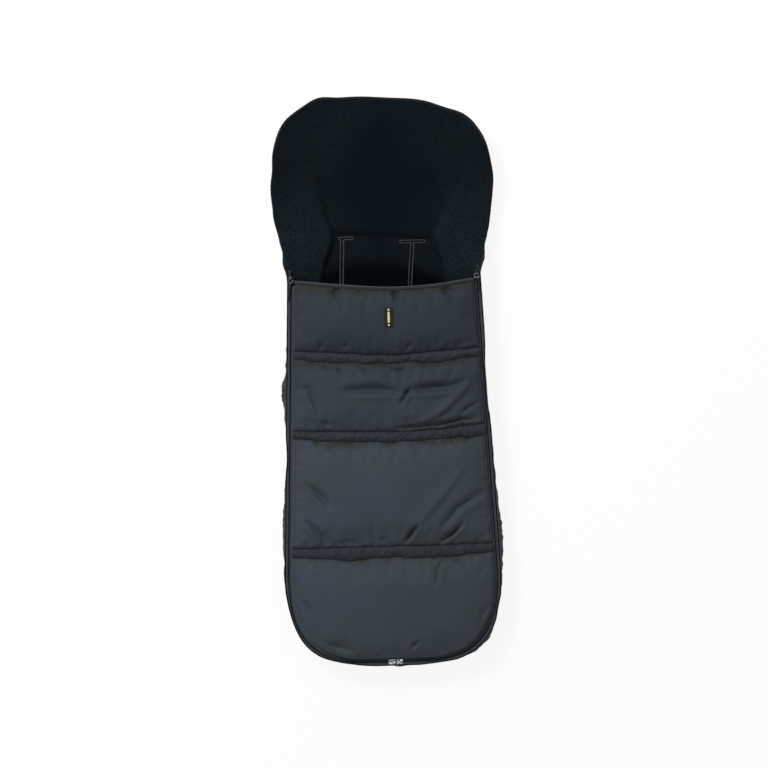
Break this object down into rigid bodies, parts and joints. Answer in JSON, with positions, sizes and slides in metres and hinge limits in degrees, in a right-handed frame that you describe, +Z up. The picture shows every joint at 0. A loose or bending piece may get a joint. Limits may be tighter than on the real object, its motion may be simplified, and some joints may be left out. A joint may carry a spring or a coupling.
{
  "type": "stroller footmuff",
  "caption": "Padded pushchair footmuff with a fleece-lined back and hood, and a quilted apron that two side zips close over the child's legs.",
  "frame": {"origin": "on the underside of the back, under the middle of the footmuff's length and width", "axes": "+X to the right as seen from above with the hood up the view, +Y from the foot to the hood, +Z up out of the back through the apron"},
  "size_m": [0.385, 0.98, 0.088],
  "materials": {
    "outer_cloth": "dark woven polyester, slightly shiny",
    "apron_cloth": "charcoal woven polyester over wadding, soft sheen",
    "band_cloth": "the same polyester, ruched",
    "fleece": "navy black brushed fleece",
    "wadding": "white polyester wadding",
    "binding": "black woven binding",
    "zip_tape": "grey zip tape with nylon coil",
    "nickel": "nickel plated zip metal",
    "grip": "black moulded pull grip",
    "badge_metal": "pale gold plated, polished"
  },
  "bodies": {
    "back": {"seat_shell": "outer_cloth", "seat_wadding": "wadding", "seat_fleece": "fleece", "harness_slot_left_binding": "binding", "harness_slot_right_binding": "binding", "crotch_slot_binding": "binding", "gusset_left": "outer_cloth", "gusset_right": "outer_cloth", "gusset_foot": "outer_cloth", "gusset_lining_left": "fleece", "gusset_lining_right": "fleece", "gusset_lining_foot": "fleece", "gusset_zip_left": "zip_tape", "gusset_zip_right": "zip_tape", "zip_stop_left": "nickel", "zip_stop_right": "nickel", "apron_panel_4": "apron_cloth", "apron_lining_4": "fleece", "apron_zip_4_left": "zip_tape", "apron_zip_4_right": "zip_tape", "gathered_band_3": "band_cloth"},
    "head": {"head_shell": "outer_cloth", "head_wadding": "wadding", "head_fleece": "fleece", "rim_binding": "binding"},
    "apron_lower": {"apron_panel_3": "apron_cloth", "apron_lining_3": "fleece", "apron_zip_3_left": "zip_tape", "apron_zip_3_right": "zip_tape", "gathered_band_2": "band_cloth"},
    "apron_middle": {"apron_panel_2": "apron_cloth", "apron_lining_2": "fleece", "apron_zip_2_left": "zip_tape", "apron_zip_2_right": "zip_tape", "gathered_band_1": "band_cloth"},
    "apron_top": {"apron_panel_1": "apron_cloth", "apron_lining_1": "fleece", "apron_zip_1_left": "zip_tape", "apron_zip_1_right": "zip_tape", "apron_top_binding": "outer_cloth", "badge_tab": "binding", "badge_bar": "badge_metal", "badge_stud_upper": "badge_metal", "badge_stud_lower": "badge_metal"},
    "top_slider_left": {"top_slider_left": "nickel"},
    "zip_pull_left": {"pull_link_left": "nickel", "pull_grip_left": "grip"},
    "foot_slider_left": {"foot_slider_left": "nickel"},
    "top_slider_right": {"top_slider_right": "nickel"},
    "zip_pull_right": {"pull_link_right": "nickel", "pull_grip_right": "grip"},
    "foot_slider_right": {"foot_slider_right": "nickel"}
  },
  "joints": [
    {"name": "head_tilt", "type": "hinge", "parent": "back", "child": "head", "pos_m": [0, 0.257, 0.02], "axis": [1, 0, 0], "range_deg": [0, 70]},
    {"name": "fold_foot", "type": "hinge", "parent": "back", "child": "apron_lower", "pos_m": [0, -0.297, 0.0825], "axis": [1, 0, 0], "range_deg": [0, 90]},
    {"name": "fold_middle", "type": "hinge", "parent": "apron_lower", "child": "apron_middle", "pos_m": [0, -0.094, 0.0825], "axis": [1, 0, 0], "range_deg": [0, 100]},
    {"name": "fold_top", "type": "hinge", "parent": "apron_middle", "child": "apron_top", "pos_m": [0, 0.043, 0.0825], "axis": [1, 0, 0], "range_deg": [0, 165]},
    {"name": "zip_left_run", "type": "slide", "parent": "back", "child": "top_slider_left", "axis": [-0.0393, -0.9992, 0], "range_m": [0, 0.48]},
    {"name": "pull_left_swing", "type": "hinge", "parent": "top_slider_left", "child": "zip_pull_left", "pos_m": [-0.15971, 0.1795, 0.05955], "axis": [-0.9808, 0.1951, 0], "range_deg": [0, 160]},
    {"name": "foot_zip_left_run", "type": "slide", "parent": "back", "child": "foot_slider_left", "axis": [-1, 0, 0], "range_m": [0, 0.02]},
    {"name": "zip_right_run", "type": "slide", "parent": "back", "child": "top_slider_right", "axis": [0.0393, -0.9992, 0], "range_m": [0, 0.48]},
    {"name": "pull_right_swing", "type": "hinge", "parent": "top_slider_right", "child": "zip_pull_right", "pos_m": [0.15971, 0.1795, 0.05955], "axis": [-0.9808, -0.1951, 0], "range_deg": [0, 160]},
    {"name": "foot_zip_right_run", "type": "slide", "parent": "back", "child": "foot_slider_right", "axis": [1, 0, 0], "range_m": [0, 0.02]}
  ]
}
